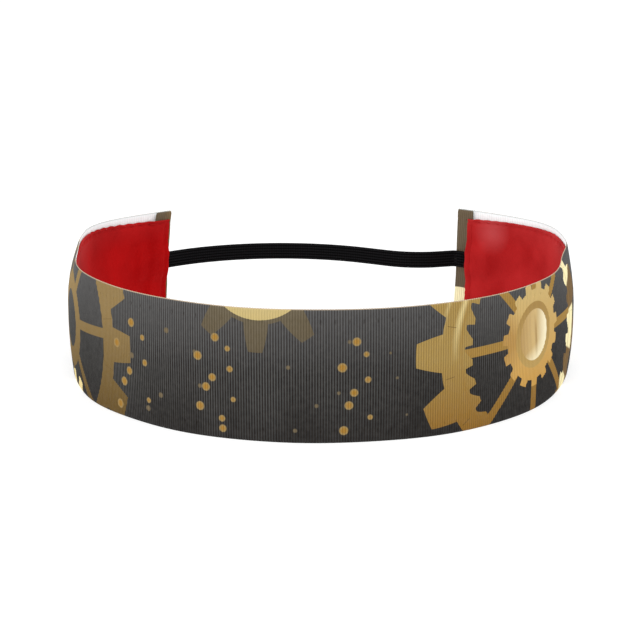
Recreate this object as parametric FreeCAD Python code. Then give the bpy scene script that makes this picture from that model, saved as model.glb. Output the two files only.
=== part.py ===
import FreeCAD, Part
import math
import os

# Elastic-back ribbon headband, in millimetres. +Z is up and the front faces -Y.
# The band stands on its bottom edge, and the origin is under the middle of its bounding box.

# Ribbon: one length of 1.5 inch grosgrain bent into an open loop, printed side out.
RIBBON_WIDTH = 38.1
RIBBON_THICK = 0.6
# Half of the loop's outer face, from the middle of the front to the arm's end: (radius, degrees).
HALF_LOOP = [(77.0, 68.0), (118.0, 30.0), (37.0, 31.0), (105.0, 24.0)]
FRONT_Y = -78.82
# Length of each arm's outer face from the front's middle to its fold; the right arm is longer.
ARM_LENGTH = {"left": 197.2, "right": 204.5}
# Each end of the ribbon is folded inwards once, as a flap.
FLAP_LENGTH = 6.0
FLAP_GAP = 0.3

# Velvet lining strip, sewn to the ribbon's reverse; it stops this far short of each fold.
LINING_THICK = 1.2
LINING_MARGIN = 2.6
LINING_SETBACK = {"left": 1.4, "right": 4.9}
LAYER_GAP = 0.1
# The lining lies on the ribbon up to RAMP_START before the fold, and on the elastic after RAMP_END.
RAMP_START = 24.0
RAMP_END = 15.0

# Flat braided elastic, 1/4 inch wide, with rubber cores in its braid.
ELASTIC_WIDTH = 6.0
ELASTIC_THICK = 1.0
ELASTIC_MID_Z = 20.6
TAIL_LENGTH = 13.0
CORE_COUNT = 5
CORE_PITCH = 1.1
CORE_SIZE = 0.5
CORE_CLEARANCE = 0.05
# Seen from above the loose elastic is an S: it bulges back on the left and dips in on the right.
ELASTIC_HEADINGS = (41.0, -28.0, 18.0)
BULGE_RADIUS = 60.0
DIP_RADIUS = 22.0

# The arms bend from the front at upright lines, this far round the outer face from its middle.
FLEX_AT = 122.0
FLEX_GAP = 0.6
# The elastic's span keeps this clear of the tails sewn into the arms.
ELASTIC_GAP = 0.6

# Sewing thread: a line of stitches along both long edges of the lining and across both its ends.
THREAD = 0.4
EDGE_SEAM_INSET = 0.9
END_SEAM_INSET = 1.8

# Depth of each layer's near face below the ribbon's outer face.
FLAP_NEAR = RIBBON_THICK + FLAP_GAP
TAIL_NEAR = FLAP_NEAR + RIBBON_THICK + LAYER_GAP
LINING_NEAR = RIBBON_THICK + LAYER_GAP
LINING_LIFT = TAIL_NEAR + ELASTIC_THICK + LAYER_GAP - LINING_NEAR
SEAM_NEAR = LINING_NEAR + LINING_THICK
TAIL_MIDDLE = TAIL_NEAR + ELASTIC_THICK / 2

SIGN = {"left": -1, "right": 1}


def direction(heading):
    """The unit vector at a heading in radians, anticlockwise from +X."""
    return FreeCAD.Vector(math.cos(heading), math.sin(heading), 0.0)


def normal(heading):
    """The unit vector to the left of a heading."""
    return FreeCAD.Vector(-math.sin(heading), math.cos(heading), 0.0)


class Path:
    """Tangent runs seen from above: (radius, degrees) turns left, or right if degrees are negative.

    A straight run is (None, length).
    """

    def __init__(self, start, heading, runs):
        self.start = start
        self.heading = math.radians(heading)
        self.runs = runs

    def lengths(self):
        return [size if radius is None else radius * abs(math.radians(size)) for radius, size in self.runs]

    def joins(self):
        """Distances at which one run meets the next."""
        lengths = self.lengths()
        return [sum(lengths[: i + 1]) for i in range(len(lengths) - 1)]

    def at(self, s, inward=0.0):
        """The point s along the path, moved to the left of it by inward."""
        point = FreeCAD.Vector(self.start)
        heading = self.heading
        for (radius, size), length in zip(self.runs, self.lengths()):
            step = min(s, length)
            if radius is None:
                point += direction(heading) * step
            else:
                side = math.copysign(radius, size)
                turned = heading + step / side
                point += (normal(heading) - normal(turned)) * side
                heading = turned
            s -= step
            if s <= 0.0:
                break
        return point + normal(heading) * inward


class Loop(Path):
    """A half path and its mirror image across X = 0; distances are negative on the left."""

    def joins(self):
        right = Path.joins(self)
        return [-s for s in reversed(right)] + right

    def at(self, s, inward=0.0):
        point = Path.at(self, abs(s), inward)
        if s < 0.0:
            point.x = -point.x
        return point


LOOP = Loop(FreeCAD.Vector(0.0, FRONT_Y, 0.0), 0.0, HALF_LOOP)


def wall(path, spans, low, high):
    """An upright wall along a path; spans are (s, near face, far face), in order along the path."""
    knots = [spans[0]]
    for before, after in zip(spans, spans[1:]):
        for s in path.joins():
            if before[0] + 0.01 < s < after[0] - 0.01:
                share = (s - before[0]) / (after[0] - before[0])
                knots.append((s, *(before[i] + share * (after[i] - before[i]) for i in (1, 2))))
        knots.append(after)
    edges = [across(path, knots[0]), across(path, knots[-1])]
    for before, after in zip(knots, knots[1:]):
        for side in (1, 2):
            edges.append(run(path, (before[0], before[side]), (after[0], after[side])))
    return extrude(edges, low, high)


def across(path, knot):
    """The closing line at one end of a wall."""
    s, near, far = knot
    return Part.makeLine(path.at(s, near), path.at(s, far))


def run(path, start, end):
    """The arc from start to end by way of the point halfway; each is (s, inward). A flat one is a line."""
    middle = path.at((start[0] + end[0]) / 2, (start[1] + end[1]) / 2)
    first, last = path.at(*start), path.at(*end)
    chord = last - first
    if middle.distanceToLine(first, chord) < 1e-6:
        return Part.makeLine(first, last)
    return Part.Arc(first, middle, last).toShape()


def extrude(edges, low, high):
    """The solid between two heights whose plan is bounded by the edges."""
    outline = Part.Wire(Part.__sortEdges__(edges))
    solid = Part.Face(outline).extrude(FreeCAD.Vector(0, 0, high - low))
    solid.translate(FreeCAD.Vector(0, 0, low))
    return solid


def on_side(side, spans):
    """Spans given on the right arm, on either arm, in order along the loop."""
    if side == "right":
        return spans
    return [(-s, near, far) for s, near, far in reversed(spans)]


def level(first, last, near, thick):
    """The spans of a layer of even depth."""
    return [(first, near, near + thick), (last, near, near + thick)]


FRONT_END = FLEX_AT - FLEX_GAP / 2
ARM_START = FLEX_AT + FLEX_GAP / 2


def ribbon_front():
    return wall(LOOP, level(-FRONT_END, FRONT_END, 0.0, RIBBON_THICK), 0.0, RIBBON_WIDTH)


def ribbon_arm(side):
    """The arm's ribbon, its end folded round a small bend and laid back as the flap."""
    length = ARM_LENGTH[side]
    bend = FLAP_GAP / 2 + RIBBON_THICK
    straight = length - bend
    band = level(ARM_START, straight, 0.0, RIBBON_THICK)
    flap = level(length - FLAP_LENGTH, straight, FLAP_NEAR, RIBBON_THICK)
    pieces = [wall(LOOP, on_side(side, spans), 0.0, RIBBON_WIDTH) for spans in (band, flap)]
    return pieces[0].fuse([pieces[1], fold(side, straight, bend)]).removeSplitter()


def fold(side, s, bend):
    """The half-round bend that joins the ribbon's end to its flap."""
    sign = SIGN[side]
    centre = LOOP.at(sign * s, bend)
    along = (LOOP.at(sign * (s + 0.1), bend) - centre).normalize()
    depths = (0.0, RIBBON_THICK, FLAP_NEAR, FLAP_NEAR + RIBBON_THICK)
    outer, inner, flap_inner, flap_outer = [LOOP.at(sign * s, depth) for depth in depths]
    edges = [
        Part.Arc(outer, centre + along * bend, flap_outer).toShape(),
        Part.Arc(inner, centre + along * (bend - RIBBON_THICK), flap_inner).toShape(),
        Part.makeLine(outer, inner),
        Part.makeLine(flap_inner, flap_outer),
    ]
    return extrude(edges, 0.0, RIBBON_WIDTH)


def lining_spans(side, near, thick, setback):
    """A layer on the arm at the lining's depth, lifted over the elastic's tail near the arm's end."""
    length = ARM_LENGTH[side]
    stations = [(ARM_START, 0.0), (length - RAMP_START, 0.0)]
    stations += [(length - RAMP_END, LINING_LIFT), (length - setback, LINING_LIFT)]
    return [(s, near + lift, near + lift + thick) for s, lift in stations]


def lining_front():
    spans = level(-FRONT_END, FRONT_END, LINING_NEAR, LINING_THICK)
    return wall(LOOP, spans, LINING_MARGIN, RIBBON_WIDTH - LINING_MARGIN)


def lining_arm(side):
    spans = lining_spans(side, LINING_NEAR, LINING_THICK, LINING_SETBACK[side])
    return wall(LOOP, on_side(side, spans), LINING_MARGIN, RIBBON_WIDTH - LINING_MARGIN)


def edge_seam_heights(edge):
    """Lowest and highest point of the thread along the lining's top or bottom edge."""
    inset = LINING_MARGIN + EDGE_SEAM_INSET
    middle = inset if edge == "bottom" else RIBBON_WIDTH - inset
    return middle - THREAD / 2, middle + THREAD / 2


def edge_seam_front(edge):
    return wall(LOOP, level(-FRONT_END, FRONT_END, SEAM_NEAR, THREAD), *edge_seam_heights(edge))


def edge_seam_arm(side, edge):
    """The edge thread on one arm; it stops at the end seam."""
    setback = LINING_SETBACK[side] + END_SEAM_INSET + THREAD
    spans = lining_spans(side, SEAM_NEAR, THREAD, setback)
    return wall(LOOP, on_side(side, spans), *edge_seam_heights(edge))


def end_seam(side):
    """The thread across the arm's end that holds lining, elastic, flap and ribbon together."""
    last = ARM_LENGTH[side] - LINING_SETBACK[side] - END_SEAM_INSET + THREAD / 2
    spans = level(last - THREAD, last, SEAM_NEAR + LINING_LIFT, THREAD)
    low, high = edge_seam_heights("bottom")[0], edge_seam_heights("top")[1]
    return wall(LOOP, on_side(side, spans), low, high)


def elastic_tail(side):
    """The end of the elastic, sewn in between the flap and the lining."""
    length = ARM_LENGTH[side]
    spans = level(length - TAIL_LENGTH, length, TAIL_NEAR, ELASTIC_THICK)
    low = ELASTIC_MID_Z - ELASTIC_WIDTH / 2
    return wall(LOOP, on_side(side, spans), low, low + ELASTIC_WIDTH)


def elastic_path():
    """The middle line of the loose elastic, from the left tail to the right one.

    It is a right turn, a straight run, a left turn and a straight run; the two straight
    lengths are the ones that bring it to the right tail.
    """
    leaving, falling, arriving = [math.radians(heading) for heading in ELASTIC_HEADINGS]
    ends = []
    for side, heading in (("left", leaving), ("right", arriving + math.pi)):
        ends.append(LOOP.at(SIGN[side] * ARM_LENGTH[side], TAIL_MIDDLE) + direction(heading) * ELASTIC_GAP)
    bulge = (normal(falling) - normal(leaving)) * BULGE_RADIUS
    dip = (normal(falling) - normal(arriving)) * DIP_RADIUS
    rest = ends[1] - ends[0] - bulge - dip
    a, b = direction(falling), direction(arriving)
    area = a.x * b.y - a.y * b.x
    fall = (rest.x * b.y - rest.y * b.x) / area
    rise = (a.x * rest.y - a.y * rest.x) / area
    turns = [math.degrees(falling - leaving), math.degrees(arriving - falling)]
    runs = [(BULGE_RADIUS, turns[0]), (None, fall), (DIP_RADIUS, turns[1]), (None, rise)]
    return Path(ends[0], ELASTIC_HEADINGS[0], runs)


def strip(path, half, low, high):
    """A strip on edge along the whole of a path, reaching half to each side of it."""
    return wall(path, [(0.0, -half, half), (sum(path.lengths()), -half, half)], low, high)


def cores(path, size):
    """The elastic's cores, or their channels, spaced evenly across its width."""
    strips = []
    for i in range(CORE_COUNT):
        middle = ELASTIC_MID_Z + (i - (CORE_COUNT - 1) / 2) * CORE_PITCH
        strips.append(strip(path, size / 2, middle - size / 2, middle + size / 2))
    return strips


def elastic_braid(path):
    """The braid round the cores."""
    low = ELASTIC_MID_Z - ELASTIC_WIDTH / 2
    whole = strip(path, ELASTIC_THICK / 2, low, low + ELASTIC_WIDTH)
    return whole.cut(cores(path, CORE_SIZE + 2 * CORE_CLEARANCE))


def write(name, shape):
    """Write one sub-part and say what it holds."""
    shape.exportStep(os.path.join("parts", name + ".step"))
    print(name, len(shape.Solids), round(shape.Volume, 1), shape.isValid())


def write_arm(side):
    write("ribbon_" + side, ribbon_arm(side))
    write("lining_" + side, lining_arm(side))
    write("elastic_tail_" + side, elastic_tail(side))
    write("end_seam_" + side, end_seam(side))
    for edge in ("top", "bottom"):
        write("seam_" + edge + "_" + side, edge_seam_arm(side, edge))


def main():
    os.makedirs("parts", exist_ok=True)
    write("ribbon_front", ribbon_front())
    write("lining_front", lining_front())
    for edge in ("top", "bottom"):
        write("seam_" + edge + "_front", edge_seam_front(edge))
    for side in ("left", "right"):
        write_arm(side)
    path = elastic_path()
    write("elastic_span", elastic_braid(path))
    write("elastic_cores", Part.makeCompound(cores(path, CORE_SIZE)))


main()
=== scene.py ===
import math

import bpy
import numpy as np
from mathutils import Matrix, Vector


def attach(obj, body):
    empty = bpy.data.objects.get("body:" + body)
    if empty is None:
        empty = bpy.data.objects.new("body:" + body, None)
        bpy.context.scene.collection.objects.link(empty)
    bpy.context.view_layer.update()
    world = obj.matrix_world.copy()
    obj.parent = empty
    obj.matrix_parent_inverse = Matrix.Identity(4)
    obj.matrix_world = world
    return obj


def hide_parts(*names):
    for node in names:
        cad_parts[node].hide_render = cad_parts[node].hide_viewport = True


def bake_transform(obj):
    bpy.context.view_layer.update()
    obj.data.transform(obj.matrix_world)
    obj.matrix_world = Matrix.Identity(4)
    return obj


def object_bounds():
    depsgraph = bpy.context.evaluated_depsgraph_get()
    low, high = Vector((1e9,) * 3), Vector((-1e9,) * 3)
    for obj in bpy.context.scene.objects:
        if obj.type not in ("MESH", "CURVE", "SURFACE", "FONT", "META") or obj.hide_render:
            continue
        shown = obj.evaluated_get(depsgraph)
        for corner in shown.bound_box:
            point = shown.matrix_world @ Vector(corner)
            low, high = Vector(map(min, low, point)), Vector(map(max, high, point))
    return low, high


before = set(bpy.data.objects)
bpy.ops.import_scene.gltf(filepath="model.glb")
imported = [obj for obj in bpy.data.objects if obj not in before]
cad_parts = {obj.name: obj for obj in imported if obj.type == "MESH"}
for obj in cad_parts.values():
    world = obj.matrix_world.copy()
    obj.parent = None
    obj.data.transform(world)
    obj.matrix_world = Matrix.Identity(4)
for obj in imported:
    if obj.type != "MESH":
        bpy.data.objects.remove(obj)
CAD_LOW, CAD_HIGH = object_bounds()

# Elastic-back ribbon headband, in metres. Distances along the band are measured round its outer face
# from the middle of the front: positive to the right arm's end, negative to the left arm's end.
MM = 0.001

# The outer face of half the loop, from the middle of the front: (radius, degrees).
HALF_LOOP = [(77.0 * MM, 68.0), (118.0 * MM, 30.0), (37.0 * MM, 31.0), (105.0 * MM, 24.0)]
FRONT_Y = CAD_LOW.y
WIDTH = CAD_HIGH.z
ARM = {"left": 197.2 * MM, "right": 204.5 * MM}
SIGN = {"left": -1.0, "right": 1.0}
# How far each arm's end leans out of upright: its length grows by this share of the height.
LEAN = {"left": 0.082, "right": -0.029}

# Where each side's edges roll inwards most, by how much, and how far along that reaches.
ROLL = {"left": (128.0 * MM, 2.45 * MM, 24.0 * MM), "right": (114.0 * MM, 2.8 * MM, 21.0 * MM)}
# The lower edge's share of the roll, and how far the middle of the width swells outwards for it.
LOWER_ROLL = 0.45
SWELL = 0.2

# Ribbon.
RIBBON_THICK = 0.6 * MM
RIB_PITCH = 0.77 * MM
RIB_HEIGHT = 0.18 * MM
RIB_STEPS = 4
FLAP_LENGTH = {"left": 8.0 * MM, "right": 6.0 * MM}
FLAP_GAP = 0.3 * MM
FOLD_RADIUS = FLAP_GAP / 2 + RIBBON_THICK
FOLD_ARC = math.pi * (FOLD_RADIUS - RIBBON_THICK / 2)

# Lining.
LINING_THICK = 1.2 * MM
LINING_MARGIN = 2.6 * MM
LINING_SETBACK = {"left": 1.4 * MM, "right": 4.9 * MM}
LAYER_GAP = 0.1 * MM
LINING_NEAR = RIBBON_THICK + LAYER_GAP
EDGE_SEAM_INSET = 0.9 * MM
END_SEAM_INSET = 1.8 * MM
STITCH_PITCH = 4.0 * MM
END_STITCH_PITCH = 3.0 * MM
THREAD_RADIUS = 0.12 * MM

# How much further than LINING_MARGIN says the lining's edges reach, in mm, with the place along the
# band, in mm from the front's middle, before it.
EDGE_STRAY = [(75.0, 0.0), (120.0, 1.2), (148.0, 1.5), (172.0, 0.7), (197.0, -0.5)]

# Elastic.
ELASTIC_WIDTH = 5.7 * MM
ELASTIC_THICK = 1.0 * MM
ELASTIC_RIBS = 6
ELASTIC_STEP = 0.25 * MM
ELASTIC_MID_Z = 20.7 * MM
# How much higher than that the elastic is at its left end and at its right end.
ELASTIC_RISE = (0.5 * MM, -0.15 * MM)
TAIL_LENGTH = 13.0 * MM
TAIL_DEPTH = RIBBON_THICK + FLAP_GAP + RIBBON_THICK + LAYER_GAP + ELASTIC_THICK / 2
ELASTIC_GAP = 0.6 * MM
ELASTIC_HEADINGS = (41.0, -28.0, 18.0)
BULGE_RADIUS = 60.0 * MM
DIP_RADIUS = 22.0 * MM
CORE_COUNT = 5
CORE_PITCH = 1.1 * MM
CORE_RADIUS = 0.25 * MM

# Each layer is two pieces, which meet on the left of the front, in a valley between two ribs.
SPLIT = -127 * RIB_PITCH
# The elastic's outer stretches reach about this far along it past the arms' ends.
ELASTIC_JOINT = 22.0 * MM


# ---------------------------------------------------------------- shape of the loop

def half_path(s):
    """x, y and heading s along the right half's outer face."""
    x = np.zeros_like(s)
    y = np.full_like(s, FRONT_Y)
    heading = np.zeros_like(s)
    done = 0.0
    for radius, degrees in HALF_LOOP:
        length = radius * math.radians(degrees)
        turned = heading + np.clip(s - done, 0.0, length) / radius
        x = x + radius * (np.sin(turned) - np.sin(heading))
        y = y + radius * (np.cos(heading) - np.cos(turned))
        heading = turned
        done += length
    return x, y, heading


def flutter(s, z):
    """How far the whole band waves inwards; most along its two edges."""
    edge = np.abs(z / WIDTH - 0.5) * 2.0
    slow = np.sin(s / (11.0 * MM) + 0.9) + 0.6 * np.sin(s / (6.1 * MM) - 1.0 + 3.0 * z / WIDTH)
    return 0.16 * MM * slow * (0.25 + edge ** 2)


def cup(s, z):
    """How far the band's two edges roll inwards; most at its sides, where it turns towards the back."""
    edge = z / WIDTH * 2.0 - 1.0
    roll = np.full_like(s, 0.3 * MM)
    for side, (middle, most, reach) in ROLL.items():
        roll = roll + most * np.exp(-((s - SIGN[side] * middle) / reach) ** 2)
    curl = np.abs(edge) ** 2.5 * np.where(edge > 0.0, 1.0, LOWER_ROLL)
    return roll * ((1.0 + SWELL) * curl - SWELL)


def place(s, inward, z):
    """Points s along the band, inward from its outer face and z up."""
    s, inward, z = np.broadcast_arrays(np.asarray(s, float), inward, z)
    x, y, heading = half_path(np.abs(s))
    inward = inward + flutter(s, z) + cup(s, z)
    x = x - inward * np.sin(heading)
    y = y + inward * np.cos(heading)
    return np.stack([np.where(s < 0.0, -x, x), y, z], axis=-1)


def inward_normal(s):
    """Unit vectors that point into the loop."""
    heading = half_path(np.abs(s))[2]
    x = -np.sin(heading)
    return np.stack([np.where(s < 0.0, -x, x), np.cos(heading), np.zeros_like(x)], axis=-1)


def lean(side, z):
    """How much further an arm's end reaches at height z than at the middle of the width."""
    return LEAN[side] * (z - WIDTH / 2)


def smooth(low, high, value):
    """0 below low, 1 above high, and a smooth step between them."""
    t = np.clip((value - low) / (high - low), 0.0, 1.0)
    return t * t * (3.0 - 2.0 * t)


# ---------------------------------------------------------------- meshes

def new_object(name, vertices, faces, place_names=None):
    """A smooth-shaded mesh object; place_names are named vectors kept for its materials, in mm."""
    mesh = bpy.data.meshes.new(name)
    mesh.from_pydata(vertices.reshape(-1, 3).tolist(), [], faces)
    mesh.shade_smooth()
    for key, values in (place_names or {}).items():
        attribute = mesh.attributes.new(key, "FLOAT_VECTOR", "POINT")
        attribute.data.foreach_set("vector", values.reshape(-1).astype(np.float32))
    piece = bpy.data.objects.new(name, mesh)
    bpy.context.scene.collection.objects.link(piece)
    return piece


def slab(name, front, back, low_edge, high_edge, cloth):
    """A closed strip from stations along it: front and back rows, and one point along each edge.

    front and back are (stations, rows, 3); the edges are (stations, 3). cloth is the same ring of
    points as (along, across, 0) for the materials. Returns the object and its faces' ring places.
    """
    ring = np.concatenate([front, high_edge[:, None], back[:, ::-1], low_edge[:, None]], axis=1)
    stations, points = ring.shape[:2]
    rows = front.shape[1]
    faces, parts = [], []
    for i in range(stations - 1):
        a, b = i * points, (i + 1) * points
        for j in range(points):
            k = (j + 1) % points
            faces.append((a + j, b + j, b + k, a + k))
            parts.append(j)
    for station, flip in ((0, False), (stations - 1, True)):
        base = station * points
        for j in range(rows - 1):
            across = [base + j, base + j + 1, base + 2 * rows - j - 1, base + 2 * rows - j]
            faces.append(tuple(across[::-1] if flip else across))
            parts.append(-1)
        for across in ([rows - 1, rows, rows + 1], [2 * rows, 2 * rows + 1, 0]):
            corner = [base + j for j in across]
            faces.append(tuple(corner[::-1] if flip else corner))
            parts.append(-1)
    piece = new_object(name, ring, faces, {"cloth": cloth})
    sharpen_ends(piece.data, stations, points)
    return piece, np.array(parts)


def sharpen_ends(mesh, stations, points):
    """Marks the rims of a strip's two ends as sharp, so that the end faces don't bend its shading."""
    ends = np.empty(2 * len(mesh.edges), dtype=np.int32)
    mesh.edges.foreach_get("vertices", ends)
    station = ends.reshape(-1, 2) // points
    at_end = (station == 0).all(axis=1) | (station == stations - 1).all(axis=1)
    sharp = mesh.attributes.new("sharp_edge", "BOOLEAN", "EDGE")
    sharp.data.foreach_set("value", at_end)


def tubes(name, centres, across, out, radii, sides=6):
    """Separate round threads: centres, across and out are (threads, points, 3); radii is per point."""
    turn = np.arange(sides) * 2.0 * math.pi / sides
    rim = across[:, :, None] * np.cos(turn)[None, None, :, None]
    rim = rim + out[:, :, None] * np.sin(turn)[None, None, :, None]
    rings = centres[:, :, None] + rim * np.asarray(radii)[None, :, None, None]
    threads, points = rings.shape[:2]
    faces = []
    for t in range(threads):
        base = t * points * sides
        for i in range(points - 1):
            a, b = base + i * sides, base + (i + 1) * sides
            for j in range(sides):
                k = (j + 1) % sides
                faces.append((a + j, a + k, b + k, b + j))
        faces.append(tuple(base + j for j in reversed(range(sides))))
        faces.append(tuple(base + (points - 1) * sides + j for j in range(sides)))
    return new_object(name, rings, faces)


# ---------------------------------------------------------------- material nodes

def srgb(red, green, blue):
    """Linear colour from 0 to 255 display values."""
    values = [c / 255.0 for c in (red, green, blue)]
    return tuple(c / 12.92 if c <= 0.04045 else ((c + 0.055) / 1.055) ** 2.4 for c in values) + (1.0,)


class Sheet:
    """A material's node tree, with arithmetic on its sockets."""

    def __init__(self, name):
        self.material = bpy.data.materials.new(name)
        self.material.use_nodes = True
        self.tree = self.material.node_tree
        self.shader = self.tree.nodes["Principled BSDF"]

    def node(self, kind, **inputs):
        node = self.tree.nodes.new(kind)
        for key, value in inputs.items():
            self.connect(node.inputs[key.replace("_", " ")], value)
        return node

    def connect(self, socket, value):
        if isinstance(value, Term):
            value = value.socket
        if isinstance(value, bpy.types.NodeSocket):
            self.tree.links.new(value, socket)
        else:
            socket.default_value = value

    def math(self, operation, *values, clamp=False):
        node = self.tree.nodes.new("ShaderNodeMath")
        node.operation = operation
        node.use_clamp = clamp
        for socket, value in zip(node.inputs, values):
            self.connect(socket, value)
        return Term(self, node.outputs[0])

    def mix(self, share, below, above):
        """below where share is 0, above where it is 1."""
        node = self.tree.nodes.new("ShaderNodeMix")
        node.data_type = "RGBA"
        self.connect(node.inputs["Factor"], share)
        self.connect(node.inputs[6], below)
        self.connect(node.inputs[7], above)
        return Term(self, node.outputs[2])

    def cloth(self):
        """Distance along and across the cloth, in millimetres."""
        source = self.tree.nodes.new("ShaderNodeAttribute")
        source.attribute_name = "cloth"
        parts = self.node("ShaderNodeSeparateXYZ", Vector=source.outputs["Vector"])
        return Term(self, parts.outputs["X"]), Term(self, parts.outputs["Y"])

    def noise(self, scale, detail=2.0, stretch=(1.0, 1.0, 1.0), rough=0.5):
        """Noise from 0 to 1 over the object's own space, in features per metre."""
        place_in = self.tree.nodes.new("ShaderNodeTexCoord")
        mapping = self.node("ShaderNodeMapping", Vector=place_in.outputs["Object"])
        mapping.inputs["Scale"].default_value = stretch
        node = self.node("ShaderNodeTexNoise", Vector=mapping.outputs[0], Scale=scale)
        node.inputs["Detail"].default_value = detail
        node.inputs["Roughness"].default_value = rough
        return Term(self, node.outputs["Fac"])

    def bump(self, height, distance, strength):
        node = self.node("ShaderNodeBump", Height=height)
        node.inputs["Distance"].default_value = distance
        node.inputs["Strength"].default_value = strength
        return node.outputs["Normal"]

    def finish(self, **inputs):
        """The material, with these values or sockets on its shader."""
        for key, value in inputs.items():
            self.connect(self.shader.inputs[key.replace("_", " ")], value)
        return self.material


class Term:
    """A socket that can be added, multiplied and so on."""

    def __init__(self, sheet, socket):
        self.sheet = sheet
        self.socket = socket

    def __add__(self, other):
        return self.sheet.math("ADD", self, other)

    def __sub__(self, other):
        return self.sheet.math("SUBTRACT", self, other)

    def __rsub__(self, other):
        return self.sheet.math("SUBTRACT", other, self)

    def __mul__(self, other):
        return self.sheet.math("MULTIPLY", self, other)

    def __truediv__(self, other):
        return self.sheet.math("DIVIDE", self, other)

    __radd__ = __add__
    __rmul__ = __mul__

    def abs(self):
        return self.sheet.math("ABSOLUTE", self)

    def sin(self):
        return self.sheet.math("SINE", self)

    def cos(self):
        return self.sheet.math("COSINE", self)

    def fraction(self):
        return self.sheet.math("FRACT", self)

    def step(self, low, high):
        """0 at low, 1 at high, straight between them."""
        return self.sheet.math("DIVIDE", self - low, high - low, clamp=True)

    def lowest(self, other):
        return self.sheet.math("MINIMUM", self, other)

    def highest(self, other):
        return self.sheet.math("MAXIMUM", self, other)


# ---------------------------------------------------------------- the print, with its painted light and shade

# The black ground: painted light towards the top, and painted shade low down, in the ribs' valleys and in
# soft waves.
BLACK_LIT_TOP = srgb(88, 88, 88)
BLACK_MID = srgb(76, 77, 76)
BLACK_SHADED_LOW = srgb(52, 52, 52)
VALLEY_SHADE_TOP = srgb(66, 66, 66)
BLACK_SHADE = srgb(22, 22, 22)
RIB_SHADE = srgb(40, 24, 8)
LINT = srgb(150, 146, 140)
STITCH_DENT_SHADE = srgb(26, 20, 14)
SELVEDGE = srgb(206, 186, 160)
FOLD_SHADE = srgb(94, 86, 72)
FOLD_PALE = srgb(255, 248, 200)
GOLD = srgb(165, 136, 74)
GOLD_LOW = srgb(142, 102, 34)
PALE_GOLD = srgb(228, 208, 148)
SPOKE_GOLD = srgb(162, 126, 58)
DARK_LINE = srgb(84, 62, 30)
FAR_PAINTED_GLINT = srgb(250, 238, 186)
FAR_BROWN = srgb(112, 86, 48)
HUB_TOP = srgb(206, 177, 114)
HUB_LOW = srgb(204, 157, 78)
HUB_SIDE = srgb(176, 134, 68)
COLLAR_TOP = srgb(168, 135, 74)
COLLAR_LOW = srgb(188, 156, 90)
# Painted light and shade on the small gear's boss: a shaded half, a lit half, a highlight and a crease of
# shade.
BOSS_SHADED_HALF = (srgb(184, 150, 92), srgb(214, 184, 126))
BOSS_LIT_HALF = (srgb(206, 178, 122), srgb(252, 240, 205))
BOSS_HIGHLIGHT = srgb(252, 240, 200)
BOSS_CREASE_SHADE = srgb(150, 116, 62)
BRONZE = srgb(141, 117, 72)
BRONZE_LOW = srgb(100, 77, 32)
FAINT = srgb(104, 93, 70)
FAINT_LOW = srgb(98, 86, 62)
DISC_TOP = srgb(182, 164, 114)
DISC_LOW = srgb(193, 172, 114)
DOT_GOLD = srgb(162, 120, 46)
DOT_RIM = srgb(156, 130, 80)
SPECK_INK = srgb(116, 100, 74)
SPECK_RIM = srgb(104, 92, 70)

# Width of the print's soft edges, and how much wider than drawn its drops have spread, in mm.
SOFT = 0.12
INK_SPREAD = 0.12

# Middles of the gears, along and across the ribbon in mm.
BIG_GEAR_AT = (72.6, 23.0)
BADGE_AT = (-17.5, 50.5)
LOW_BADGE_AT = (142.0, -12.0)
WHEEL_AT = (-108.4, 20.0)
LEFT_END_WHEEL_AT = (-239.0, 20.0)
RIGHT_END_WHEEL_AT = (246.0, 20.0)
LEFT_PALE_GEAR_AT = (-102.2, -16.8)
FOLD_PALE_GEAR_AT = (207.0, -11.0)

BADGE_DISC = 15.8
# The large ring's toothed hole: its size, its teeth and the direction of one of their gaps. It is this
# much higher than the ring, and longer across than along.
BORE_RADIUS = 28.6
BORE_TEETH = 34.0
BORE_FIRST = 180.9
BORE_RISE = 0.8
BORE_SQUEEZE = 0.86


class Polar:
    """Distance and direction from a gear's middle, in mm and turns."""

    def __init__(self, sheet, along, across, middle):
        self.x = along - middle[0]
        self.y = across - middle[1]
        self.sheet = sheet
        self.radius = sheet.math("SQRT", self.x * self.x + self.y * self.y)
        self.turn = sheet.math("ARCTAN2", self.y, self.x) * (0.5 / math.pi)

    def inside(self, radius):
        """1 nearer than radius, which may change with direction."""
        return self.sheet.math("DIVIDE", radius - self.radius, SOFT, clamp=True)

    def sector(self, count, first):
        """Distance in turns from the nearest of count even directions, and signed."""
        return ((self.turn * count + (0.5 - first / 360.0 * count)).fraction() - 0.5) * (1.0 / count)

    def teeth(self, count, first, root, tip, root_share, tip_share):
        """1 inside a toothed outline whose teeth have straight flanks."""
        off = (self.sector(count, first) * (2.0 * count)).abs()
        height = off.step(root_share, tip_share)
        return self.inside(height * (tip - root) + root)

    def spokes(self, count, first, width):
        """1 on straight arms of even width."""
        off = (self.sector(count, first) * (2.0 * math.pi)).sin() * self.radius
        return self.sheet.math("DIVIDE", width / 2 - off.abs(), SOFT, clamp=True)

    def band(self, radius, half):
        """A soft ring, 1 at radius."""
        return 1.0 - (self.radius - radius).abs().step(0.0, half)


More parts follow.
